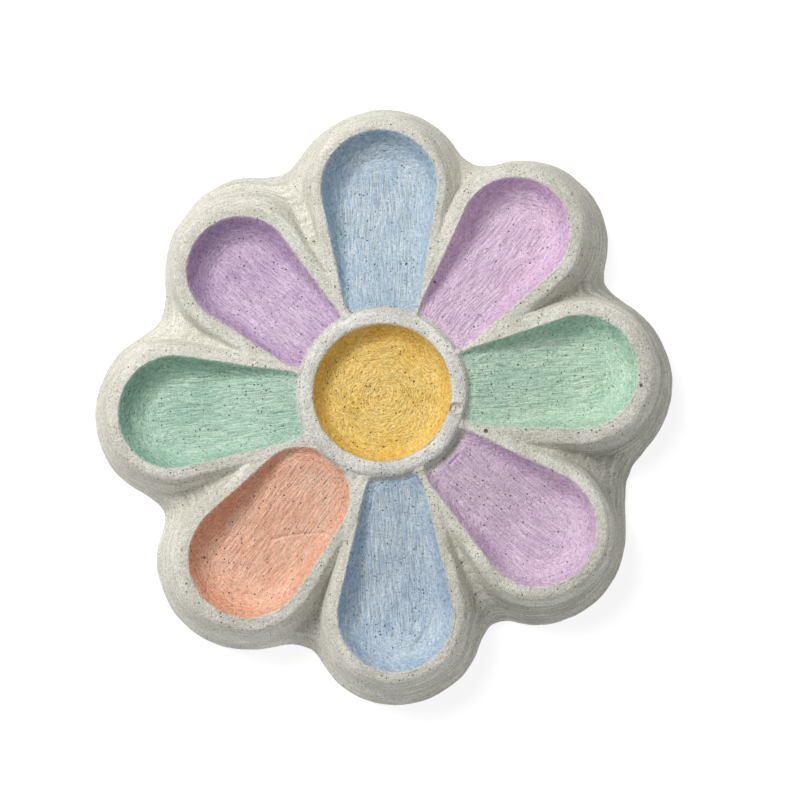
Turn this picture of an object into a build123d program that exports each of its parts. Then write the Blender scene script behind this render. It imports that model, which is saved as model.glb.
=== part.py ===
"""Flower-shaped plaster palette for mixing paint: a cast dish, its centre ring and nine dried coats."""

import os
from collections import namedtuple
from math import cos, radians, sin, sqrt, tan

from build123d import *

os.makedirs("parts", exist_ok=True)

# ---- Driving dimensions, millimetres and degrees ----
RIM_HEIGHT = 18.0        # top of the petal rims above the table
RIM_WIDTH = 3.6          # plaster between a well's edge and the outer wall, just below the bevel
WALL_LEAN = 17.0         # lean of the outer wall from upright
BEVEL_HEIGHT = 2.6       # height of the bevel that eases the rim's outer edge
BEVEL_LEAN = 45.0        # its lean from upright

NOTCH_RADII = (18.0, 30.0, 90.0, 18.0, 24.0, 28.0, 30.0, 60.0)  # hollow corners between petals, clockwise
WEB_HEIGHT = 6.0         # height of a web
WEB_BITE = 0.6           # how deep its ends are buried
GROOVE_MOUTH = 67.0      # distance from the axis at which a groove between petals opens, on the web
SADDLE_RADIUS = 43.0     # distance from the axis at which it has climbed to the saddle
SADDLE_HEIGHT = 16.8     # height of the saddle

WELL_DEPTH = 9.0         # deepest point of a petal well, below the rim
NECK_DEPTH = 1.7         # depth of a petal well where it meets the ring
WELL_ROUNDING = 6.5      # radius between a well's wall and its deep floor
FLOOR_BREAK = 6.0        # from the deepest point, inward to where the floor starts to rise

RING_RADIUS = 24.2       # outside of the centre ring
RING_CREST = 20.0        # top of the centre ring above the table
RING_SEAT = 14.0         # bottom of the pocket that the ring stands in
CREST_ROUNDING = 2.4     # radius of the crest's outer edge
BROW_ROUNDING = 0.8      # radius of the crest's inner edge
BOWL_RADIUS = 19.8       # inside of the centre bowl
BOWL_FLOOR = 11.4        # height of the centre bowl's floor
BOWL_ROUNDING = 6.0      # radius between the bowl's wall and floor
NICK_RADIUS = 2.0        # small round chip in the ring's crest
NICK_BEARING = -12.0     # its direction from the axis
NICK_AT = 21.0           # its distance from the axis

PAINT = 0.4              # thickness of a dried coat of paint
PAINT_STOP = 0.6         # bare plaster between a petal's paint and the ring
BOWL_PAINT_STOP = 0.9    # bare plaster between the bowl's paint and the crest
CLEAR_ABOVE = 7.0        # how far the cutting shapes rise above the rim

# One row per petal. Along the petal's own axis, the well is the hull of a large circle near the
# tip and a smaller one near the ring; a shift moves a circle sideways, to the left looking outward.
Petal = namedtuple("Petal", "name bearing tip_at tip_radius tip_shift neck_at neck_radius neck_shift")
PETALS = [
    Petal("north_blue", 90, 60.0, 17.0, 1.0, 29.0, 11.2, 0.2),
    Petal("north_east_violet", 50, 60.2, 16.0, 0.6, 29.0, 9.4, -1.2),
    Petal("east_green", 5, 57.2, 16.4, 0.7, 29.0, 11.4, -0.8),
    Petal("south_east_violet", -42, 59.2, 16.8, 0.6, 30.0, 9.8, -0.7),
    Petal("south_blue", -87, 63.6, 16.6, 0.4, 30.0, 8.8, 2.0),
    Petal("south_west_coral", -129, 61.0, 17.2, -0.3, 38.0, 14.2, 0.4),
    Petal("west_green", 184, 60.4, 16.4, 0.7, 29.0, 10.2, 1.6),
    Petal("north_west_violet", 138, 55.0, 15.7, 0.7, 29.0, 11.0, 1.4),
]
NEIGHBOURS = list(zip(PETALS, PETALS[1:] + PETALS[:1]))


def petal_plane(petal, height):
    """Level plane at a height, its X axis running outward along the petal."""
    outward = (cos(radians(petal.bearing)), sin(radians(petal.bearing)), 0)
    return Plane(origin=(0, 0, height), x_dir=outward, z_dir=(0, 0, 1))


def petal_outline(petal, height, growth=0.0):
    """Spoon outline of one petal, wider all round by a growth."""
    with BuildSketch(petal_plane(petal, height)) as outline:
        with Locations((petal.tip_at, petal.tip_shift)):
            Circle(petal.tip_radius + growth)
        with Locations((petal.neck_at, petal.neck_shift)):
            Circle(petal.neck_radius + growth)
        make_hull()
    return outline.sketch


def petal_frustum(petal, lean):
    """Petal with a leaning wall all round, at its set width at the waist."""
    with BuildPart() as frustum:
        extrude(petal_outline(petal, 0, RIM_WIDTH), amount=RIM_HEIGHT)
        walls = frustum.faces().filter_by(lambda face: abs(face.normal_at().Z) < 0.5)
        draft(walls, Plane.XY.offset(RIM_HEIGHT - BEVEL_HEIGHT), lean)
    return frustum.part


def petal_block(petal):
    """Solid petal before its well is cut: its wall below the waist, and a flatter bevel above."""
    wall = petal_frustum(petal, WALL_LEAN)
    bevel = petal_frustum(petal, BEVEL_LEAN)
    with BuildPart() as block:
        add(wall)
        add(bevel, mode=Mode.INTERSECT)
    return block.part


def petal_hollow(petal, skin=0.0):
    """Space inside one well, or the space left inside a coat as thick as the skin."""
    depth = CLEAR_ABOVE + WELL_DEPTH - skin
    level = petal_plane(petal, RIM_HEIGHT - NECK_DEPTH + skin)
    slope = (WELL_DEPTH - NECK_DEPTH) / (petal.tip_at - FLOOR_BREAK - RING_RADIUS)
    rising_floor = Plane(
        origin=level.from_local_coords((RING_RADIUS, 0, 0)),
        x_dir=level.y_dir,
        z_dir=Vector(0, 0, 1) + level.x_dir * slope,
    )
    with BuildPart() as hollow:
        extrude(petal_outline(petal, RIM_HEIGHT + CLEAR_ABOVE, -skin), amount=-depth)
        fillet(hollow.edges().group_by(Axis.Z)[0], radius=WELL_ROUNDING - skin)
        split(bisect_by=rising_floor, keep=Keep.TOP)
    return hollow.part


def bowl_hollow(skin=0.0):
    """Space inside the centre bowl, or the space left inside its coat."""
    with BuildPart() as hollow:
        with BuildSketch(Plane.XY.offset(BOWL_FLOOR + skin)):
            Circle(BOWL_RADIUS - skin)
        extrude(amount=RING_CREST + CLEAR_ABOVE - BOWL_FLOOR - skin)
        fillet(hollow.edges().group_by(Axis.Z)[0], radius=BOWL_ROUNDING - skin)
    return hollow.part


def tip_centre(petal):
    """Centre of the large circle of a petal, on the table."""
    return petal_plane(petal, 0).from_local_coords(Vector(petal.tip_at, petal.tip_shift, 0))


def notch_web(petal, neighbour, radius):
    """Low web of plaster that rounds out the notch between two petals, its ends buried in both walls."""
    growth = RIM_WIDTH + (RIM_HEIGHT - BEVEL_HEIGHT - WEB_HEIGHT) * tan(radians(WALL_LEAN)) - WEB_BITE
    first = tip_centre(petal)
    second = tip_centre(neighbour)
    first_reach = petal.tip_radius + growth + radius
    second_reach = neighbour.tip_radius + growth + radius
    across = second - first
    along = (across.length**2 + first_reach**2 - second_reach**2) / (2 * across.length)
    outward = across.normalized().rotate(Axis.Z, 90)
    notch_centre = first + across.normalized() * along + outward * sqrt(first_reach**2 - along**2)
    with BuildPart() as web:
        with BuildSketch():
            Polygon(first, notch_centre, second, align=None)
            with Locations(notch_centre):
                Circle(radius, mode=Mode.SUBTRACT)
        extrude(amount=WEB_HEIGHT)
    return web.part


def saddle():
    """Cone under the grooves, so that they climb inward between the petals and die out."""
    with BuildPart() as cone:
        with BuildSketch(Plane.XZ):
            Polygon(
                (0, 0),
                (GROOVE_MOUTH, 0),
                (GROOVE_MOUTH, WEB_HEIGHT),
                (SADDLE_RADIUS, SADDLE_HEIGHT),
                (0, SADDLE_HEIGHT),
                align=None,
            )
        revolve(axis=Axis.Z)
    return cone.part


petal_blocks = [petal_block(petal) for petal in PETALS]
petal_hollows = [petal_hollow(petal) for petal in PETALS]
webs = [notch_web(petal, neighbour, radius) for (petal, neighbour), radius in zip(NEIGHBOURS, NOTCH_RADII)]
saddle_cone = saddle()
bowl = bowl_hollow()

# ---- Cast dish: base, walls and rims are one casting, with a pocket for the ring ----
with BuildPart() as plaster_dish:
    for solid_piece in [saddle_cone, *petal_blocks, *webs]:
        add(solid_piece)
    with BuildSketch(Plane.XY.offset(RING_SEAT)):
        Circle(RING_RADIUS)
    extrude(amount=RING_CREST - RING_SEAT, mode=Mode.SUBTRACT)
    for hollow_space in [*petal_hollows, bowl]:
        add(hollow_space, mode=Mode.SUBTRACT)

# ---- Centre ring: stands in the pocket and forms the upper wall of the bowl ----
with BuildPart() as centre_ring:
    with BuildSketch(Plane.XY.offset(RING_SEAT)):
        Circle(RING_RADIUS)
    extrude(amount=RING_CREST - RING_SEAT)
    fillet(centre_ring.edges().group_by(Axis.Z)[-1], radius=CREST_ROUNDING)
    add(bowl, mode=Mode.SUBTRACT)
    fillet(centre_ring.edges().group_by(Axis.Z)[-1].sort_by(SortBy.RADIUS)[0], radius=BROW_ROUNDING)
    nick_spot = (NICK_AT * cos(radians(NICK_BEARING)), NICK_AT * sin(radians(NICK_BEARING)))
    with Locations((*nick_spot, RING_CREST + NICK_RADIUS / 3)):
        Sphere(NICK_RADIUS, mode=Mode.SUBTRACT)

# ---- Dried coats of paint: thin skins that line the wells and the bowl ----
petal_coats = []
for petal, outer_hollow in zip(PETALS, petal_hollows):
    inner_hollow = petal_hollow(petal, PAINT)
    with BuildPart() as coat:
        add(outer_hollow)
        add(inner_hollow, mode=Mode.SUBTRACT)
        split(bisect_by=Plane.XY.offset(RIM_HEIGHT), keep=Keep.BOTTOM)
        with BuildSketch():
            Circle(RING_RADIUS + PAINT_STOP)
        extrude(amount=RING_CREST, mode=Mode.SUBTRACT)
    coat.part.label = f"coat_{petal.name}"
    petal_coats.append(coat.part)

inner_bowl = bowl_hollow(PAINT)
with BuildPart() as coat_centre_yellow:
    add(bowl)
    add(inner_bowl, mode=Mode.SUBTRACT)
    split(bisect_by=Plane.XY.offset(RING_CREST - BOWL_PAINT_STOP), keep=Keep.BOTTOM)

# ---- One STEP file per sub-part ----
plaster_dish.part.label = "plaster_dish"
centre_ring.part.label = "centre_ring"
coat_centre_yellow.part.label = "coat_centre_yellow"
for piece in [plaster_dish.part, centre_ring.part, coat_centre_yellow.part, *petal_coats]:
    export_step(piece, f"parts/{piece.label}.step")
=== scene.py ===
"""Flower-shaped plaster palette: hand-brushed plaster, nine dried coats of paint and a raised centre ring."""

from collections import namedtuple
from math import cos, radians, sin

import bpy
import numpy as np
from mathutils import Matrix, Vector


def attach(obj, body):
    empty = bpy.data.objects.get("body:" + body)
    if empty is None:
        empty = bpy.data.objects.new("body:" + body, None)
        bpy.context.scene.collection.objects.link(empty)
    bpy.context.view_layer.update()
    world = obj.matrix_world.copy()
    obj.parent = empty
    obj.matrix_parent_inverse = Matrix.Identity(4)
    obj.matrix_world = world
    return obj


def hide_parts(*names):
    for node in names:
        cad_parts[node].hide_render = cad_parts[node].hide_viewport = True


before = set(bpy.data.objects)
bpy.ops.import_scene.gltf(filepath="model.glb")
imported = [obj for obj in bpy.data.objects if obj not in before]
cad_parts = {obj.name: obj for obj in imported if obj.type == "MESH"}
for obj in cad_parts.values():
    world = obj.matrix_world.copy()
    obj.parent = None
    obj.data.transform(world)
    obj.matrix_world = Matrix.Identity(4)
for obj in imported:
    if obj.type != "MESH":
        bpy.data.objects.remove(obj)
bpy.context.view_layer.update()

# ---- Shape of the casting, millimetres and degrees, in the frame of the CAD model ----
MM = 0.001
RIM_HEIGHT = 18.0        # top of the petal rims above the table
CROWN = 0.045            # fall of a rim's top, times the square of the distance from the well's edge
SHOULDER_ROUNDING = 2.0  # rounding between a rim's top and its outer wall
LIP_ROUNDING = 1.1       # rounding between a rim's top and its well
FOOT = 8.3               # from a well's edge out to the foot of an ordinary wall
WALL_BULGE = 0.25        # how far a wall bulges outward, 0 for a straight slope
BODY_BLEND = 1.6         # rounding where a petal's wall meets a web or another petal
WEB_SHOULDER = 3.0       # from a well's edge out to where the webs' outer wall starts
VALLEY_TOP = (43.0, 17.6)    # the valleys' floor: distance from the axis and height where it starts,
VALLEY_MOUTH = (70.0, 7.5)   # and where it reaches the notches

WELL_DEPTH = 9.0         # deepest point of a petal well, below the rim
WELL_WALL = 8.0          # width of a well's curved wall
WELL_POWER = 2.4         # how steeply it starts
NECK_DEPTH = 1.0         # depth of a petal well where it meets the ring
FLOOR_BREAK = 6.0        # from the centre of the tip's circle, inward to where the floor starts to rise
FLOOR_ROUNDING = 2.2     # rounding between the rising floor and the wall

RING_RADIUS = 24.2       # outside of the centre ring
RING_SEAT = 14.0         # bottom of the pocket that the ring stands in
RING_RISE = 0.9          # how far the plaster rises to meet the ring
RING_RISE_WIDTH = 1.2    # and over what width
NICK = (20.9, -4.7)      # chip in the ring's crest
NICK_HALF_SIZE = (1.8, 1.45)
NICK_DEPTH = 1.0
NICK_LIP = 0.35          # height of the raised lip round it
BOWL_RADIUS = 19.8       # inside of the centre bowl
BOWL_FLOOR = 13.2        # height of its floor
BOWL_EDGE = 19.0         # height at which its wall runs out under the ring's inner edge
BOWL_WALL = 4.6          # width of its curved wall

PAINT = 0.4              # thickness of a dried coat of paint
PAINT_MARGIN = 1.0       # a coat's mesh runs this far past the nominal edge of its paint
PAINT_STOP = 0.9         # bare plaster between a petal's paint and the ring
WIDER_STOPS = {"south_east_violet": 2.4}    # the same, where it is wider
UNDER_PAINT = 0.45       # how far the casting is lowered where paint covers it

BLISTER = (-80.2, -12.3)     # small lump on the outer wall at the left
BLISTER_HEIGHT = 0.5
SMEAR_X = (62.0, 66.0)       # green smear on the outer wall at the right: where it fades in along x,
SMEAR_Y_START = (-23.0, -18.0)   # where it fades in along y,
SMEAR_Y_END = (-13.0, -9.0)      # and where it fades out again

# One petal to a pair of lines. The first gives its direction and the well's outline, as in the CAD model.
# The second gives the slot of its paint, then its wall: the rim's width out to its shoulder, the foot's
# distance from the well at the tip, and how much further that is on the left. The last two round out the
# valley on the petal's right-hand side: how fast the rounding grows outward, and its most.
Petal = namedtuple(
    "Petal",
    "name bearing tip_at tip_radius tip_shift neck_at neck_radius neck_shift "
    "slot rim foot skew fill fill_most",
)
PETALS = [
    Petal("north_blue", 90, 60.0, 17.0, 1.0, 29.0, 11.2, 0.2,
          "blue_paint", 2.6, 9.4, 0.6, 0.40, 10.8),
    Petal("north_east_violet", 50, 60.2, 16.0, 0.6, 29.0, 9.4, -1.2,
          "violet_paint", 3.8, 9.2, -1.2, 0.27, 14.0),
    Petal("east_green", 5, 57.2, 16.4, 0.7, 29.0, 11.4, -0.8,
          "green_paint", 4.2, 9.7, -0.9, 0.63, 20.0),
    Petal("south_east_violet", -42, 59.2, 16.8, 0.6, 30.0, 9.8, -0.7,
          "violet_paint", 3.3, 8.6, -1.0, 0.40, 11.0),
    Petal("south_blue", -87, 63.6, 16.6, 0.4, 30.0, 8.8, 2.0,
          "blue_paint", 2.9, 8.6, -0.7, 0.40, 13.5),
    Petal("south_west_coral", -129, 61.0, 17.2, -0.3, 38.0, 14.2, 0.4,
          "coral_paint", 3.3, 9.5, -2.0, 0.40, 10.0),
    Petal("west_green", 184, 60.4, 16.4, 0.7, 29.0, 10.2, 1.6,
          "green_paint", 3.2, 9.3, -1.1, 0.50, 20.0),
    Petal("north_west_violet", 138, 55.0, 15.7, 0.7, 29.0, 11.0, 1.4,
          "violet_paint", 3.8, 11.0, -3.2, 0.23, 14.0),
]


# ---- Small numeric helpers ----
def smooth_step(low, high, value):
    """0 below low, 1 above high, and an S-curve between."""
    t = np.clip((value - low) / (high - low), 0.0, 1.0)
    return t * t * (3.0 - 2.0 * t)


def soft_min(a, b, width):
    """Minimum of two fields, blended over a width."""
    h = np.maximum(width - np.abs(a - b), 0.0) / width
    return np.minimum(a, b) - h * h * width / 4.0


def soft_max(a, b, width):
    """Maximum of two fields, blended over a width."""
    return -soft_min(-a, -b, width)


def corner_value(ix, iy, iz, seed):
    """Repeatable pseudo-random number from -1 to 1 for a lattice corner."""
    n = (ix * 73856093) ^ (iy * 19349663) ^ (iz * 83492791) ^ (seed * 2654435761)
    n = (n ^ (n >> 13)) * 1274126177 & 0x7FFFFFFF
    n = (n ^ (n >> 16)) * 60493 & 0x7FFFFFFF
    return (n & 0xFFFF) / 32767.5 - 1.0


def noise(x, y, z, seed):
    """Smooth value noise from -1 to 1, one cell to a unit."""
    x, y, z = np.broadcast_arrays(x, y, z)
    cells = [np.floor(v).astype(np.int64) for v in (x, y, z)]
    parts = [v - c for v, c in zip((x, y, z), cells)]
    fx, fy, fz = [p * p * (3.0 - 2.0 * p) for p in parts]
    total = np.zeros(x.shape)
    for dx in (0, 1):
        for dy in (0, 1):
            for dz in (0, 1):
                weight = (fx if dx else 1 - fx) * (fy if dy else 1 - fy) * (fz if dz else 1 - fz)
                total += weight * corner_value(cells[0] + dx, cells[1] + dy, cells[2] + dz, seed)
    return total


def rough(x, y, z, seed, octaves=3):
    """Several octaves of noise added together."""
    total = np.zeros(np.broadcast(x, y, z).shape)
    for i in range(octaves):
        total += noise(x * 2**i, y * 2**i, z * 2**i, seed + i) / 2**i
    return total


# ---- Heights of the casting ----
def petal_axes(petal, x, y):
    """Distance along a petal's axis and across it, to the left looking outward."""
    t = radians(petal.bearing)
    return x * cos(t) + y * sin(t), y * cos(t) - x * sin(t)


def petal_distance(petal, x, y):
    """Distance from a well's edge, negative inside it."""
    s, w = petal_axes(petal, x, y)
    along, across = petal.neck_at - petal.tip_at, petal.neck_shift - petal.tip_shift
    length = np.hypot(along, across)
    ux, uw = along / length, across / length
    u = (s - petal.tip_at) * ux + (w - petal.tip_shift) * uw
    v = np.abs((w - petal.tip_shift) * ux - (s - petal.tip_at) * uw)
    b = (petal.tip_radius - petal.neck_radius) / length
    a = np.sqrt(1.0 - b * b)
    k = a * u - b * v
    tip = np.hypot(u, v) - petal.tip_radius
    neck = np.hypot(u - length, v) - petal.neck_radius
    side = a * v + b * u - petal.tip_radius
    return np.where(k < 0, tip, np.where(k > a * length, neck, side))


def hand_wobble(x, y):
    """Unevenness of a thing made by hand, slow and then quicker."""
    return 0.28 * rough(x / 14.0, y / 14.0, 0.0, 11, 2) + 0.10 * rough(x / 4.0, y / 4.0, 0.0, 17, 2)


def well_height(petal, distance, x, y):
    """Surface of one well: a curved wall running down to a floor that rises towards the ring."""
    s, w = petal_axes(petal, x, y)
    t = np.clip(1.0 + distance / WELL_WALL, 0.0, None)
    wall = RIM_HEIGHT - WELL_DEPTH * (1.0 - t**WELL_POWER)
    slope = (WELL_DEPTH - NECK_DEPTH) / (petal.tip_at - FLOOR_BREAK - RING_RADIUS)
    rise = RIM_HEIGHT - NECK_DEPTH - slope * (s - RING_RADIUS)
    return soft_max(wall, rise, FLOOR_ROUNDING)


def wall_drop(out):
    """How far the outer wall has dropped, from 0 at its shoulder to the rim's height at its foot."""
    return RIM_HEIGHT * (out + WALL_BULGE * out * (np.abs(out) - 1.0))


def foot_distance(petal, x, y):
    """Distance from a well's edge to the foot of its wall, on its own side of the petal."""
    w = petal_axes(petal, x, y)[1]
    side = np.clip((w - petal.tip_shift) / (petal.tip_radius + 4.0), -1.0, 1.0)
    return petal.foot + petal.skew * side


def petal_body(petal, x, y, uneven):
    """Height of one petal's rim and outer wall, which is as wide as its foot says only at the tip."""
    s = petal_axes(petal, x, y)[0]
    e = petal_distance(petal, x, y) + uneven
    at_tip = smooth_step(petal.tip_at - 6.0, petal.tip_at + 8.0, s)
    foot = FOOT + (foot_distance(petal, x, y) - FOOT) * at_tip
    wall = wall_drop((e - petal.rim) / (foot - petal.rim))
    return RIM_HEIGHT - soft_max(CROWN * np.maximum(e, 0.0) ** 2, wall, SHOULDER_ROUNDING)


def web_body(x, y, uneven):
    """Height of the webs that fill the valleys: a floor that falls outward, and an outer wall."""
    r = np.hypot(x, y)
    reaches = []
    for petal in PETALS:
        d = petal_distance(petal, x, y)
        reaches.append(np.where(d > 0, d * FOOT / foot_distance(petal, x, y), d))
    total = np.min(reaches, 0)
    for i, petal in enumerate(PETALS):
        width = np.clip(3.0 + (r - 45.0) * petal.fill, 3.0, petal.fill_most)
        total = np.minimum(total, soft_min(reaches[i], reaches[(i + 1) % len(PETALS)], width))
    wall = RIM_HEIGHT - wall_drop((total + uneven - WEB_SHOULDER) / (FOOT - WEB_SHOULDER))
    fall = (VALLEY_TOP[1] - VALLEY_MOUTH[1]) / (VALLEY_MOUTH[0] - VALLEY_TOP[0])
    valley = VALLEY_TOP[1] - fall * (r - VALLEY_TOP[0])
    valley = soft_min(valley, VALLEY_TOP[1] - 0.2, 4.0)
    return soft_min(valley, wall, 3.5)


def outer_distance(x, y):
    """Distance from the nearest well's edge."""
    return np.min([petal_distance(petal, x, y) for petal in PETALS], 0)


def casting_height(x, y):
    """Top surface of the casting, rims, wells, valleys and outer wall together, unpainted."""
    uneven = hand_wobble(x, y)
    height = web_body(x, y, uneven)
    for petal in PETALS:
        height = soft_max(height, petal_body(petal, x, y, uneven), BODY_BLEND)
    for petal in PETALS:
        d = petal_distance(petal, x, y)
        inner = well_height(petal, d, x, y)
        height = np.where(d < 2.5, soft_min(height, inner, LIP_ROUNDING), height)
    height = height + RING_RISE * np.exp(-((np.hypot(x, y) - RING_RADIUS) / RING_RISE_WIDTH) ** 2)
    blister = np.exp(-((x - BLISTER[0]) ** 2 + (y - BLISTER[1]) ** 2) / 0.9)
    return height + BLISTER_HEIGHT * blister


# ---- Meshes ----
def make_object(name, vertices, faces, attributes, slot, nodes):
    """Smooth-shaded piece in metres from points in millimetres, riding on the part's one body."""
    mesh = bpy.data.meshes.new(name)
    mesh.from_pydata((vertices * MM).tolist(), [], faces)
    mesh.validate()
    for key, values in attributes.items():
        if values.ndim == 1:
            layer = mesh.attributes.new(key, "FLOAT", "POINT")
            layer.data.foreach_set("value", values.astype(np.float32))
        else:
            layer = mesh.attributes.new(key, "FLOAT_VECTOR", "POINT")
            layer.data.foreach_set("vector", values.astype(np.float32).ravel())
    mesh.polygons.foreach_set("use_smooth", np.ones(len(mesh.polygons), bool))
    piece = bpy.data.objects.new(name, mesh)
    bpy.context.scene.collection.objects.link(piece)
    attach(piece, "root")
    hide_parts(*nodes)
    return piece


def ring_faces(first, second, count):
    """Quads between two loops of vertices, given by their first indices."""
    i = np.arange(count)
    j = (i + 1) % count
    return np.stack([first + i, first + j, second + j, second + i], 1).tolist()


def loops_mesh(loops, cap_start, cap_end):
    """Vertices and faces of stacked closed loops, each (n, 3), with a point to close either end."""
    count = len(loops[0])
    vertices = np.concatenate(loops)
    faces = []
    for i in range(len(loops) - 1):
        faces += ring_faces(i * count, (i + 1) * count, count)
    for row, cap in ((0, cap_start), (len(loops) - 1, cap_end)):
        if cap is None:
            continue
        tip = len(vertices)
        vertices = np.concatenate([vertices, [cap]])
        i = row * count + np.arange(count)
        j = row * count + (np.arange(count) + 1) % count
        order = [j, i] if row == 0 else [i, j]
        faces += np.stack([*order, np.full(count, tip)], 1).tolist()
    return vertices, faces


# ---- Casting ----
DISH_COLUMNS = 1080
DISH_RINGS = 82
DISH_START = RING_RADIUS - 0.3      # where the visible surface starts, under the ring's skirt
FOOT_BETWEEN = (50.0, 100.0)        # distances from the axis between which the wall meets the table
UNDER_BOWL = BOWL_FLOOR - 0.4
POCKET = [                          # distance from the axis and height, under the bowl's coat and the ring
    (13.0, UNDER_BOWL), (17.0, 12.8), (18.6, 13.4), (BOWL_RADIUS, RING_SEAT),
    (RING_RADIUS - 0.6, RING_SEAT), (RING_RADIUS - 0.4, RING_SEAT + 1.4),
]
BASE_SHARES = (0.985, 0.6, 0.25)    # loops of the flat base, as shares of the foot's distance


def build_dish():
    """Casting as one closed mesh: flat base, outer wall, rims, valleys, wells and the bowl's underside."""
    angle = np.linspace(0, 2 * np.pi, DISH_COLUMNS, endpoint=False)
    ray = np.stack([np.cos(angle), np.sin(angle)], 1)
    # Foot of the wall along each ray, by halving
    low, high = (np.full(DISH_COLUMNS, reach) for reach in FOOT_BETWEEN)
    for _ in range(40):
        middle = (low + high) / 2
        inside = casting_height(middle * ray[:, 0], middle * ray[:, 1]) > 0
        low, high = np.where(inside, middle, low), np.where(inside, high, middle)
    foot = low
    # Loops at even steps of travel over the surface, with longer steps under the paint
    fine = np.linspace(0, 1, 700)[:, None]
    reach = DISH_START + fine * (foot - DISH_START)
    x, y = reach * ray[:, 0], reach * ray[:, 1]
    step = np.hypot(np.diff(reach, axis=0), np.diff(casting_height(x, y), axis=0))
    weight = 0.3 + 0.7 * smooth_step(-3.0, 0.0, outer_distance(x, y)[1:])
    travel = np.concatenate([np.zeros((1, DISH_COLUMNS)), np.cumsum(step * weight, 0)])
    wanted = np.linspace(0, 1, DISH_RINGS)[:, None] * travel[-1]
    radius = np.stack([np.interp(wanted[:, i], travel[:, i], reach[:, i]) for i in range(DISH_COLUMNS)], 1)
    x, y = radius * ray[:, 0], radius * ray[:, 1]
    z = np.maximum(casting_height(x, y), 0.0)
    z = z - UNDER_PAINT * smooth_step(0.2, 2.2, -outer_distance(x, y))
    z[-1] = 0.0
    loops = [np.column_stack([r * ray, np.full(DISH_COLUMNS, level)]) for r, level in POCKET]
    loops += [np.column_stack([x[i], y[i], z[i]]) for i in range(DISH_RINGS)]
    loops += [np.column_stack([foot[:, None] * share * ray, np.zeros(DISH_COLUMNS)]) for share in BASE_SHARES]
    vertices, faces = loops_mesh(loops, (0, 0, UNDER_BOWL), (0, 0, 0))
    x, y = vertices[:, 0], vertices[:, 1]
    smear = smooth_step(0.1, 0.9, noise(x / 4.0, y / 4.0, 0, 91)) * smooth_step(*SMEAR_X, x)
    smear *= smooth_step(*SMEAR_Y_START, y) * (1.0 - smooth_step(*SMEAR_Y_END, y))
    made = {"edge": outer_distance(x, y), "stain": 0.5 * smear}
    return make_object("plaster_casting", vertices, faces, made, "plaster", ["plaster_dish"])


# ---- Coats of paint ----
UNDERSIDE_SHARES = (0.995, 0.9, 0.7, 0.45, 0.2)    # loops of a coat's underside, as shares of its reach


def edge_radius(field, centre, angle, farthest):
    """Distance from a centre to where a field turns positive, for each angle."""
    low, high = np.zeros(len(angle)), np.full(len(angle), farthest)
    for _ in range(36):
        middle = (low + high) / 2
        inside = field(centre[0] + middle * np.cos(angle), centre[1] + middle * np.sin(angle)) < 0
        low, high = np.where(inside, middle, low), np.where(inside, high, middle)
    return low


def build_coat(name, centre, field, top, base, attributes, slot, node, columns, rings, farthest):
    """Thin closed skin over a star-shaped patch: its painted top, and a plain underside."""
    angle = np.linspace(0, 2 * np.pi, columns, endpoint=False)
    rim = edge_radius(field, centre, angle, farthest)
    crowded = np.sin(np.linspace(0.5 / rings, 1, rings) * np.pi / 2) ** 0.92    # closer near the edge
    loops = []
    for share in crowded:
        x = centre[0] + rim * share * np.cos(angle)
        y = centre[1] + rim * share * np.sin(angle)
        loops.append(np.column_stack([x, y, top(x, y)]))
    for share in UNDERSIDE_SHARES:
        x = centre[0] + rim * share * np.cos(angle)
        y = centre[1] + rim * share * np.sin(angle)
        loops.append(np.column_stack([x, y, base(x, y)]))
    cx, cy = np.array([centre[0]]), np.array([centre[1]])
    first = (centre[0], centre[1], float(top(cx, cy)[0]))
    last = (centre[0], centre[1], float(base(cx, cy)[0]))
    vertices, faces = loops_mesh(loops, first, last)
    faces = [face[::-1] for face in faces]
    made = attributes(vertices[:, 0], vertices[:, 1])
    return make_object(name, vertices, faces, made, slot, [node])


def petal_strokes(petal, x, y, seed):
    """Relief of the brush marks in a well, along its axis in the middle and round its edge outside."""
    s, w = petal_axes(petal, x, y)
    t = -petal_distance(petal, x, y)
    stray = 0.9 * noise(x / 5.0, y / 5.0, 0, seed + 3)
    straight = rough((w + stray) / 1.2, s / 11.0, 0.0, seed, 3)
    bent = rough((t + stray) / 1.2, s / 6.0, w / 6.0, seed + 5, 3)
    turn = stroke_turn(petal, s, t) + 0.4 * noise(x / 6.0, y / 6.0, 0, seed + 9)
    turn = smooth_step(0.25, 0.75, turn)
    worked = 0.35 + 0.65 * smooth_step(-0.3, 0.5, noise(x / 9.0, y / 9.0, 0, seed + 13))
    return (straight * (1.0 - turn) + bent * turn) * worked


def stroke_turn(petal, s, t):
    """0 where strokes run along the petal, 1 where they follow its edge."""
    round_tip = smooth_step(petal.tip_at + 1.0, petal.tip_at + 12.0, s)
    near_edge = 1.0 - smooth_step(2.0, 5.0, t)
    return np.maximum(round_tip, near_edge)


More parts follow.
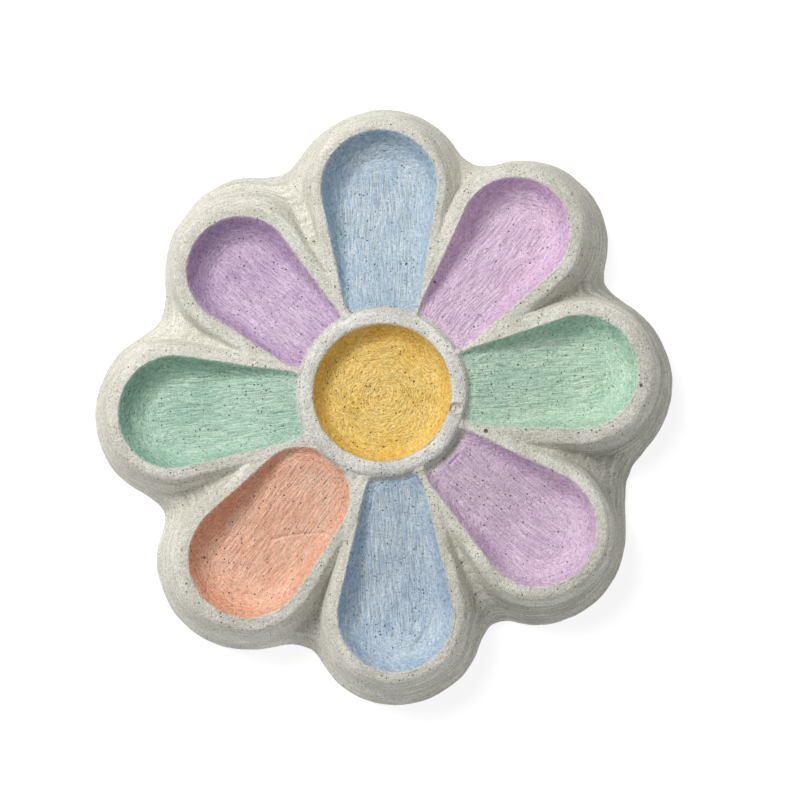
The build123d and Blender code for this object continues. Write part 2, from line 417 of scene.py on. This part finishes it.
# Ridges and scratches in the dried paint: the two ends, the width, and the height, below zero for a scratch
MARKS = [
    ((-14.2, -40.2), (-25.4, -56.0), 0.55, 0.55),
    ((-15.4, -40.0), (-26.6, -55.6), 0.7, -0.3),
    ((-33.0, -41.3), (-24.0, -39.6), 0.4, -0.35),
    ((-24.0, -39.6), (-14.8, -40.2), 0.4, -0.35),
    ((-61.7, -18.5), (-46.0, -14.2), 0.6, 0.4),
    ((-46.0, -14.2), (-32.4, -12.3), 0.6, 0.3),
    ((-60.5, -19.6), (-46.0, -15.4), 0.7, -0.25),
    ((-45.8, 35.0), (-42.8, 33.0), 0.45, -0.5),
    ((-30.2, 28.6), (-28.2, 30.8), 0.45, 0.5),
    ((-46.4, 39.8), (-43.4, 38.6), 0.45, 0.5),
    ((-26.6, 27.2), (-25.2, 30.4), 0.45, 0.4),
    ((48.8, 2.4), (52.0, 4.2), 0.5, -0.4),
    ((19.2, -20.4), (21.8, -17.8), 0.45, -0.6),
    ((-9.8, 75.0), (-8.8, 75.4), 0.7, -0.9),
    ((6.2, -57.0), (7.6, -61.5), 0.6, 0.4),
    ((-8.0, -48.0), (-8.6, -62.0), 0.6, 0.3),
    ((11.5, -66.0), (7.0, -72.5), 0.6, 0.35),
]


def paint_marks(x, y):
    """Height of the ridges and scratches at a place."""
    total = np.zeros_like(x)
    for (x0, y0), (x1, y1), width, height in MARKS:
        along = ((x - x0) * (x1 - x0) + (y - y0) * (y1 - y0)) / ((x1 - x0) ** 2 + (y1 - y0) ** 2)
        share = np.clip(along, 0.0, 1.0)
        sway = 0.015 * np.hypot(x1 - x0, y1 - y0) * np.sin(3.0 * np.pi * share)
        away = np.hypot(x - x0 - share * (x1 - x0) + sway, y - y0 - share * (y1 - y0) + sway)
        total += height * np.exp(-((away / width) ** 2))
    return total


def build_petal_coat(petal, seed):
    """Dried coat of one petal well."""
    t = radians(petal.bearing)
    at = (petal.tip_at + petal.neck_at) / 2 + 4.0
    centre = (at * cos(t), at * sin(t))
    stop = RING_RADIUS + WIDER_STOPS.get(petal.name, PAINT_STOP)

    def field(x, y):
        outline = petal_distance(petal, x, y) - PAINT_MARGIN
        return np.maximum(outline, stop - 0.4 - np.hypot(x, y))

    def top(x, y):
        inside = -field(x, y)
        thick = (PAINT + 0.1) * smooth_step(0.0, 2.2, inside) - 0.04
        relief = 0.12 * petal_strokes(petal, x, y, seed) + 0.14 * rough(x / 5.0, y / 5.0, 0, seed + 20, 2)
        relief += paint_marks(x, y)
        return casting_height(x, y) + thick + relief * smooth_step(0.3, 2.5, inside)

    def base(x, y):
        return casting_height(x, y) - 0.35

    def attributes(x, y):
        s, w = petal_axes(petal, x, y)
        inside = -np.maximum(petal_distance(petal, x, y), stop - np.hypot(x, y))
        depth = -petal_distance(petal, x, y)
        return {
            "edge": inside,
            "stroke": np.column_stack([w, s, depth]),
            "swirl": stroke_turn(petal, s, depth),
        }

    return build_coat(
        "dried_" + petal.name, centre, field, top, base, attributes, petal.slot, "coat_" + petal.name,
        columns=540, rings=90, farthest=45.0,
    )


def bowl_height(x, y):
    """Surface of the centre bowl."""
    t = np.clip(1.0 - (BOWL_RADIUS - np.hypot(x, y)) / BOWL_WALL, 0.0, None)
    return BOWL_FLOOR + (BOWL_EDGE - BOWL_FLOOR) * t**2.2


def build_bowl_coat():
    """Dried coat of the centre bowl."""

    def field(x, y):
        return np.hypot(x, y) - (BOWL_RADIUS + 0.15)

    def swirl_radius(x, y):
        stray = 1.6 * rough(x / 11.0, y / 11.0, 0, 71, 2)
        return np.hypot(x, y) + stray + 0.5 * noise(x / 3.0, y / 3.0, 0, 73)

    def swirl(x, y):
        return rough(swirl_radius(x, y) / 1.4, x / 1.9, y / 1.9, 75, 3)

    def top(x, y):
        inside = -field(x, y)
        thick = (PAINT + 0.1) * smooth_step(0.0, 2.0, inside) - 0.05
        relief = 0.09 * swirl(x, y) + 0.2 * rough(x / 5.0, y / 5.0, 0, 79, 2)
        return bowl_height(x, y) + thick + relief * smooth_step(0.3, 3.0, inside)

    def base(x, y):
        return bowl_height(x, y) - 0.3

    def attributes(x, y):
        return {
            "edge": BOWL_RADIUS + 0.2 - np.hypot(x, y),
            "stroke": np.column_stack([x, y, swirl_radius(x, y)]),
            "swirl": np.ones(len(x)),
        }

    return build_coat(
        "dried_centre_yellow", (0.0, 0.0), field, top, base, attributes, "yellow_paint", "coat_centre_yellow",
        columns=480, rings=72, farthest=30.0,
    )


# ---- Centre ring ----
RING_COLUMNS = 720
RING_STEPS = 44
RING_PROFILE = [    # distance from the axis and height, from the bowl's side over the crest to the skirt
    (20.4, 14.2), (19.9, 15.4), (19.75, 16.8), (19.7, 18.0), (19.8, 18.9), (19.95, 19.4), (20.2, 19.7),
    (20.7, 19.88), (21.4, 19.97), (22.2, 19.98), (22.9, 19.9), (23.5, 19.7), (23.95, 19.38), (24.3, 18.95),
    (24.6, 18.4), (24.85, 17.8), (25.1, 17.1), (25.35, 16.4), (25.2, 15.6), (24.5, 14.6),
]


def build_ring():
    """Raised ring round the bowl, with its chip."""
    profile = np.array(RING_PROFILE)
    place = np.concatenate([[0], np.cumsum(np.hypot(*np.diff(profile, axis=0).T))])
    wanted = np.linspace(0, place[-1], RING_STEPS)
    radius, level = np.interp(wanted, place, profile[:, 0]), np.interp(wanted, place, profile[:, 1])
    angle = np.linspace(0, 2 * np.pi, RING_COLUMNS, endpoint=False)
    loops = []
    for r, z in zip(radius, level):
        x, y = r * np.cos(angle), r * np.sin(angle)
        crest = smooth_step(16.0, 19.0, z)
        swell = 0.20 * rough(x / 7.0, y / 7.0, z / 7.0, 31, 2)
        swell += 0.08 * rough(x / 1.4, y / 1.4, z / 1.4, 37, 3)
        lift = crest * (swell - 0.1)
        from_nick = np.hypot((x - NICK[0]) / NICK_HALF_SIZE[0], (y - NICK[1]) / NICK_HALF_SIZE[1])
        chip = crest * np.exp(-from_nick**4)
        lip = crest * np.exp(-(((from_nick - 1.2) / 0.2) ** 2))
        out = 1.0 + 0.004 * crest * noise(x / 9.0, y / 9.0, 0, 39)
        loops.append(np.column_stack([x * out, y * out, z + lift - NICK_DEPTH * chip + NICK_LIP * lip]))
    # The first loop again closes the section, and its vertices are then merged with the first ones
    vertices, faces = loops_mesh([*loops, loops[0]], None, None)
    kept = len(loops) * RING_COLUMNS
    vertices = vertices[:kept]
    faces = [[index % kept for index in face] for face in faces]
    x, y = vertices[:, 0], vertices[:, 1]
    in_chip = np.exp(-(((x - NICK[0] + 0.9) / 0.9) ** 2 + ((y - NICK[1]) / 0.9) ** 2))
    low_edge = smooth_step(19.3, 18.6, vertices[:, 2]) * (np.hypot(x, y) < 21.0)
    made = {"edge": np.hypot(x, y) - BOWL_RADIUS, "stain": np.maximum(0.6 * in_chip, 0.35 * low_edge)}
    return make_object("plaster_ring", vertices, faces, made, "ring_plaster", ["centre_ring"])


# ---- Materials ----
GREY_WASH_AND_PAINTED_SHADE = (0.47, 0.46, 0.40, 1.0)      # on the outer walls at the right: partly the plaster's own grey wash, partly painted shade
PINHOLE_PAINTED_SHADE = (0.13, 0.11, 0.09, 1.0)    # painted shade inside the plaster's pinholes and pits
RELIEF = 0.42                            # height of a relief of one, in millimetres
PITS = [                                 # larger pits: place in the part's plane, and radius
    (29.7, -11.2, 0.75), (74.1, 1.6, 0.6), (6.5, 38.2, 0.4), (-52.0, -46.5, 0.4), (15.0, 32.4, 0.35),
]


def put(tree, kind, values=None, **settings):
    """Adds a shader node; values maps a socket to a number, a colour or another node's socket."""
    node = tree.nodes.new("ShaderNode" + kind)
    for key, value in settings.items():
        setattr(node, key, value)
    for key, value in (values or {}).items():
        if isinstance(value, bpy.types.NodeSocket):
            tree.links.new(value, node.inputs[key])
        else:
            node.inputs[key].default_value = value
    return node


def mix(tree, factor, first, second, blend="MIX"):
    """Blend of two colours."""
    node = put(tree, "Mix", {0: factor, 6: first, 7: second}, data_type="RGBA", blend_type=blend)
    return node.outputs[2]


def scale_to(tree, value, low, high, to_low=0.0, to_high=1.0):
    """A value taken from one range to another, held at its ends."""
    node = put(
        tree, "MapRange", {0: value, 1: low, 2: high, 3: to_low, 4: to_high}, interpolation_type="SMOOTHSTEP"
    )
    return node.outputs[0]


def calc(tree, operation, first, second=0.0):
    """One arithmetic step."""
    return put(tree, "Math", {0: first, 1: second}, operation=operation).outputs[0]


def stretched_noise(tree, vector, scale, size, detail=4.0, roughness=0.55):
    """Noise on a vector stretched by its own scale on each axis."""
    placed = put(tree, "Mapping", {"Vector": vector, "Scale": scale})
    node = put(
        tree, "TexNoise",
        {"Vector": placed.outputs[0], "Scale": size, "Detail": detail, "Roughness": roughness},
        noise_dimensions="3D",
    )
    return node.outputs[0]


def pinholes(tree, place, spacing, radius, share):
    """Mask of small round holes: one to a cell of some spacing, in a share of the cells."""
    cells = put(
        tree, "TexVoronoi", {"Vector": place, "Scale": 1.0 / spacing, "Randomness": 1.0}, feature="F1"
    )
    chance = put(tree, "SeparateColor", {0: cells.outputs["Color"]})
    reach = scale_to(tree, chance.outputs[0], 1.0 - share, 1.0, 0.0, radius / spacing)
    gap = calc(tree, "SUBTRACT", reach, cells.outputs["Distance"])
    return scale_to(tree, gap, 0.0, 0.2 * radius / spacing)


def hole_layers(tree, place):
    """Pinholes of two sizes and a few larger pits, as one mask, for their relief and their painted shade."""
    place = strayed(tree, place, place, 1.6, 0.35)
    holes = pinholes(tree, place, 1.25, 0.27, 0.8)
    pores = pinholes(tree, place, 0.62, 0.16, 0.9)
    mask = calc(tree, "MAXIMUM", holes, calc(tree, "MULTIPLY", pores, 0.8))
    level_place = put(tree, "Mapping", {"Vector": place, "Scale": (1.0, 1.0, 0.0)}).outputs[0]
    for x, y, radius in PITS:
        away = put(tree, "VectorMath", {0: level_place, 1: (x, y, 0.0)}, operation="DISTANCE").outputs[1]
        mask = calc(tree, "MAXIMUM", mask, scale_to(tree, away, radius, 0.6 * radius))
    return mask


def strayed(tree, vector, place, size, amount):
    """A vector pushed about by slow noise, so that what follows it isn't ruled."""
    noise_node = put(tree, "TexNoise", {"Vector": place, "Scale": size, "Detail": 2.0}, noise_dimensions="3D")
    centred = put(
        tree, "VectorMath", {0: noise_node.outputs["Color"], 1: (0.5, 0.5, 0.5)}, operation="SUBTRACT"
    )
    return put(
        tree, "VectorMath", {0: centred.outputs[0], 1: (amount,) * 3, 2: vector}, operation="MULTIPLY_ADD"
    ).outputs[0]


def new_material(name):
    """Empty node material."""
    material = bpy.data.materials.new(name)
    material.use_nodes = True
    material.node_tree.nodes.clear()
    return material, material.node_tree


def finish_material(tree, colour, roughness, height):
    """Shader and output for a colour and a relief."""
    bump = put(tree, "Bump", {"Height": height, "Distance": RELIEF * MM, "Strength": 1.0})
    shader = put(
        tree, "BsdfPrincipled",
        {"Base Color": colour, "Roughness": roughness, "Normal": bump.outputs[0], "IOR": 1.45,
         "Specular IOR Level": 0.3},
    )
    put(tree, "OutputMaterial", {"Surface": shader.outputs[0]})


def millimetres(tree):
    """Place in millimetres in the part's frame."""
    metres = put(tree, "TexCoord").outputs["Object"]
    return put(tree, "Mapping", {"Vector": metres, "Scale": (1000, 1000, 1000)}).outputs[0]


def attribute(tree, name, output="Fac"):
    """One of a mesh's own values."""
    return put(tree, "Attribute", attribute_name=name).outputs[output]


def toned(tree, colour, value, low, high, darkest, lightest):
    """A colour made darker or lighter by a value."""
    tone = scale_to(tree, value, low, high, darkest, lightest)
    return put(tree, "VectorMath", {0: colour, "Scale": tone}, operation="SCALE").outputs[0]


def plaster_layers(tree, place, light, dark, stain):
    """Colour and relief of brushed plaster, with painted shade on the outer walls at the right."""
    edge = attribute(tree, "edge")
    split = put(tree, "SeparateXYZ", {0: place})
    lines = put(tree, "CombineXYZ", {0: split.outputs[0], 1: split.outputs[1], 2: edge})
    lines = strayed(tree, lines.outputs[0], place, 0.15, 0.8)
    streaks = stretched_noise(tree, lines, (0.11, 0.11, 1.5), 1.0, 4.0, 0.6)
    level = stretched_noise(tree, place, (0.09, 0.09, 1.3), 1.0, 4.0, 0.6)
    clouds = stretched_noise(tree, place, (0.09, 0.09, 0.09), 1.0, 4.0)
    grain = stretched_noise(tree, place, (1.1, 1.1, 1.1), 1.0, 3.0, 0.75)
    speckle = stretched_noise(tree, place, (2.4, 2.4, 2.4), 1.0, 2.0, 0.7)
    colour = mix(tree, scale_to(tree, clouds, 0.35, 0.7), light, dark)
    on_wall = scale_to(tree, edge, 2.5, 4.5, 0.1, 0.9)
    streaked = calc(tree, "MULTIPLY", scale_to(tree, level, 0.42, 0.7), on_wall)
    colour = mix(tree, streaked, colour, dark)
    # Painted shade, in part: the walls towards +x and -y, away from the key light, get a grey wash darker
    # than the plaster's own wash.
    shade_side = calc(tree, "SUBTRACT", split.outputs[0], calc(tree, "MULTIPLY", split.outputs[1], 0.35))
    below_rim = scale_to(tree, split.outputs[2], 15.5, 11.0)
    wash_and_painted_shade = calc(tree, "MULTIPLY", scale_to(tree, shade_side, 5.0, 75.0), below_rim)
    streaked_wash_and_painted_shade = calc(tree, "MULTIPLY", wash_and_painted_shade, scale_to(tree, level, 0.35, 0.6, 0.4, 0.95))
    colour = mix(tree, streaked_wash_and_painted_shade, colour, GREY_WASH_AND_PAINTED_SHADE)
    colour = mix(tree, attribute(tree, "stain"), colour, stain)
    colour = toned(tree, colour, level, 0.35, 0.65, 1.06, 0.92)
    colour = toned(tree, colour, grain, 0.3, 0.7, 1.11, 0.89)
    colour = toned(tree, colour, speckle, 0.3, 0.7, 1.20, 0.80)
    holes = hole_layers(tree, place)
    # Painted shade: the pinholes and pits are filled with a near-black colour for the shade inside them.
    colour = mix(tree, calc(tree, "MULTIPLY", holes, 0.95), colour, PINHOLE_PAINTED_SHADE)
    height = calc(tree, "ADD", calc(tree, "MULTIPLY", grain, 1.3), calc(tree, "MULTIPLY", streaks, 0.5))
    height = calc(tree, "ADD", height, calc(tree, "MULTIPLY", level, 0.5))
    height = calc(tree, "SUBTRACT", height, calc(tree, "MULTIPLY", holes, 0.6))
    return colour, height


def plaster_material(name, light, dark, stain):
    """Hand-brushed plaster, stained here and there by paint."""
    material, tree = new_material(name)
    colour, height = plaster_layers(tree, millimetres(tree), light, dark, stain)
    finish_material(tree, colour, 0.85, height)
    return material


def paint_material(name, light, deep, bare_light, bare_dark):
    """Dried matt paint with brush marks, a deeper band along its walls that is partly painted shade, and
    painted shade in its pinholes, wearing through to plaster at its soft edge.
    """
    material, tree = new_material(name)
    place = millimetres(tree)
    bare = plaster_layers(tree, place, bare_light, bare_dark, bare_dark)[0]
    edge = attribute(tree, "edge")
    swirl = attribute(tree, "swirl")
    stroke = strayed(tree, attribute(tree, "stroke", "Vector"), place, 0.12, 1.6)
    straight = stretched_noise(tree, stroke, (1.3, 0.13, 0.0), 1.0, 3.0, 0.7)
    bent = stretched_noise(tree, stroke, (0.42, 0.42, 1.3), 1.0, 3.0, 0.7)
    marks = put(tree, "Mix", {0: swirl, 2: straight, 3: bent}, data_type="FLOAT").outputs[0]
    fine_straight = stretched_noise(tree, stroke, (2.6, 0.22, 0.0), 1.0, 1.0, 0.5)
    fine_bent = stretched_noise(tree, stroke, (0.8, 0.8, 2.6), 1.0, 1.0, 0.5)
    fine = put(tree, "Mix", {0: swirl, 2: fine_straight, 3: fine_bent}, data_type="FLOAT").outputs[0]
    clouds = stretched_noise(tree, place, (0.1, 0.1, 0.1), 1.0, 3.0)
    grain = stretched_noise(tree, place, (1.1, 1.1, 1.1), 1.0, 3.0, 0.75)
    speckle = stretched_noise(tree, place, (2.4, 2.4, 2.4), 1.0, 2.0, 0.7)
    colour = mix(tree, scale_to(tree, marks, 0.35, 0.7, 0.0, 0.65), light, deep)
    colour = mix(tree, scale_to(tree, clouds, 0.4, 0.7, 0.0, 0.4), colour, deep)
    # Deeper tone along the well walls: partly paint pooled there, partly painted shade for the saturated
    # shade down the walls.
    near_edge = scale_to(tree, edge, 5.5, 1.5)
    deep_band_and_painted_shade = calc(tree, "MULTIPLY", near_edge, scale_to(tree, clouds, 0.3, 0.55, 0.3, 1.0))
    colour = mix(tree, calc(tree, "MULTIPLY", deep_band_and_painted_shade, 0.38), colour, deep)
    colour = toned(tree, colour, grain, 0.3, 0.7, 1.09, 0.91)
    colour = toned(tree, colour, fine, 0.3, 0.7, 1.15, 0.85)
    colour = toned(tree, colour, speckle, 0.3, 0.7, 1.16, 0.84)
    holes = hole_layers(tree, place)
    # Painted shade: the paint's pinholes are filled with a near-black copy of its deep tone for the shade
    # inside them.
    dark = tuple(0.2 * channel for channel in deep[:3]) + (1.0,)
    colour = mix(tree, calc(tree, "MULTIPLY", holes, 0.95), colour, dark)
    ragged = stretched_noise(tree, place, (0.3, 0.3, 0.3), 1.0, 4.0, 0.6)
    border = calc(tree, "ADD", edge, scale_to(tree, ragged, 0.2, 0.8, -0.35, 0.35))
    covered = scale_to(tree, border, -0.5, 0.55)
    colour = mix(tree, covered, bare, colour)
    height = calc(tree, "ADD", calc(tree, "MULTIPLY", marks, 1.5), calc(tree, "MULTIPLY", grain, 0.9))
    height = calc(tree, "SUBTRACT", height, calc(tree, "MULTIPLY", holes, 0.6))
    height = calc(tree, "ADD", height, calc(tree, "MULTIPLY", fine, 0.5))
    finish_material(tree, colour, 0.65, height)
    return material


# A light and a deeper tone for the plasters and the paints, and one for each stain
PLASTER_LIGHT, PLASTER_DARK = (0.82, 0.80, 0.72, 1.0), (0.69, 0.67, 0.58, 1.0)
RING_LIGHT, RING_DARK = (0.86, 0.85, 0.79, 1.0), (0.73, 0.72, 0.66, 1.0)
GREEN_SMEAR, YELLOW_STAIN = (0.42, 0.52, 0.44, 1.0), (0.78, 0.60, 0.30, 1.0)
PAINTS = {
    "north_blue": ((0.66, 0.74, 0.79, 1.0), (0.34, 0.50, 0.66, 1.0)),
    "south_blue": ((0.66, 0.75, 0.81, 1.0), (0.36, 0.50, 0.67, 1.0)),
    "north_east_violet": ((0.88, 0.70, 0.84, 1.0), (0.68, 0.46, 0.70, 1.0)),
    "south_east_violet": ((0.85, 0.69, 0.82, 1.0), (0.64, 0.45, 0.65, 1.0)),
    "north_west_violet": ((0.74, 0.60, 0.75, 1.0), (0.50, 0.33, 0.57, 1.0)),
    "east_green": ((0.67, 0.84, 0.68, 1.0), (0.38, 0.62, 0.49, 1.0)),
    "west_green": ((0.58, 0.76, 0.62, 1.0), (0.30, 0.52, 0.42, 1.0)),
    "south_west_coral": ((0.92, 0.63, 0.48, 1.0), (0.84, 0.40, 0.25, 1.0)),
    "centre_yellow": ((0.96, 0.73, 0.27, 1.0), (0.85, 0.51, 0.08, 1.0)),
}

plaster = plaster_material("brushed_plaster", PLASTER_LIGHT, PLASTER_DARK, GREEN_SMEAR)
ring_plaster = plaster_material("ring_plaster", RING_LIGHT, RING_DARK, YELLOW_STAIN)
build_dish().data.materials.append(plaster)
build_ring().data.materials.append(ring_plaster)
for number, petal in enumerate(PETALS):
    coat = build_petal_coat(petal, 100 + 10 * number)
    coat.data.materials.append(
        paint_material("paint_" + petal.name, *PAINTS[petal.name], PLASTER_LIGHT, PLASTER_DARK)
    )
bowl_coat = build_bowl_coat()
bowl_coat.data.materials.append(
    paint_material("paint_centre_yellow", *PAINTS["centre_yellow"], RING_LIGHT, RING_DARK)
)

# ---- Floor, light and camera ----
FLOOR_HALF = 3.0             # metres
FLOOR_LEVEL = -0.0002        # metres, just under the base so that the two faces don't meet
CORNERS = ((-1, -1), (1, -1), (1, 1), (-1, 1))
floor_mesh = bpy.data.meshes.new("floor")
floor_places = [(FLOOR_HALF * x, FLOOR_HALF * y, FLOOR_LEVEL) for x, y in CORNERS]
floor_mesh.from_pydata(floor_places, [], [(0, 1, 2, 3)])
floor = bpy.data.objects.new("floor", floor_mesh)
bpy.context.scene.collection.objects.link(floor)
floor_material, floor_tree = new_material("pale_floor")
floor_shader = put(
    floor_tree, "BsdfPrincipled",
    {"Base Color": (0.30, 0.30, 0.30, 1.0), "Roughness": 0.9, "Emission Color": (1, 1, 1, 1),
     "Emission Strength": 0.82},
)
put(floor_tree, "OutputMaterial", {"Surface": floor_shader.outputs[0]})
floor_mesh.materials.append(floor_material)

world = bpy.data.worlds.new("studio")
bpy.context.scene.world = world
world.use_nodes = True
world.node_tree.nodes["Background"].inputs["Color"].default_value = (0.95, 0.97, 1.0, 1.0)
world.node_tree.nodes["Background"].inputs["Strength"].default_value = 0.32


def area_light(name, bearing, elevation, distance, size, power, colour):
    """Square soft light aimed at the middle of the part."""
    data = bpy.data.lights.new(name, "AREA")
    data.size, data.energy, data.color = size, power, colour
    lamp = bpy.data.objects.new(name, data)
    a, e = radians(bearing), radians(elevation)
    toward = Vector((cos(a) * cos(e), sin(a) * cos(e), sin(e)))
    lamp.location = toward * distance
    lamp.rotation_mode = "QUATERNION"
    lamp.rotation_quaternion = toward.to_track_quat("Z", "Y")
    bpy.context.scene.collection.objects.link(lamp)


area_light(
    "key_light", bearing=135, elevation=53, distance=1.2, size=0.42, power=10.9, colour=(1.0, 0.98, 0.95)
)

bpy.context.scene.view_settings.view_transform = "Standard"

VIEW_WIDTH = 229.6 * MM      # width of the picture at the height of the rims
CAMERA_DISTANCE = 1.0
CAMERA_AZIMUTH, CAMERA_ELEVATION = radians(31.0), radians(81.8)    # from -Y towards +X, and up
AIM = Vector((5.0, -2.0, RIM_HEIGHT)) * MM
back = Vector((
    sin(CAMERA_AZIMUTH) * cos(CAMERA_ELEVATION),
    -cos(CAMERA_AZIMUTH) * cos(CAMERA_ELEVATION),
    sin(CAMERA_ELEVATION),
))
right = Vector((0, 1, 0)).cross(back).normalized()
up = back.cross(right)
camera_data = bpy.data.cameras.new("camera")
camera_data.lens = camera_data.sensor_width * CAMERA_DISTANCE / VIEW_WIDTH
camera_data.clip_start, camera_data.clip_end = 0.05, 20.0
camera = bpy.data.objects.new("camera", camera_data)
turn = Matrix((right, up, back)).transposed().to_4x4()
camera.matrix_world = Matrix.Translation(AIM + back * CAMERA_DISTANCE) @ turn
bpy.context.scene.collection.objects.link(camera)
bpy.context.scene.camera = camera
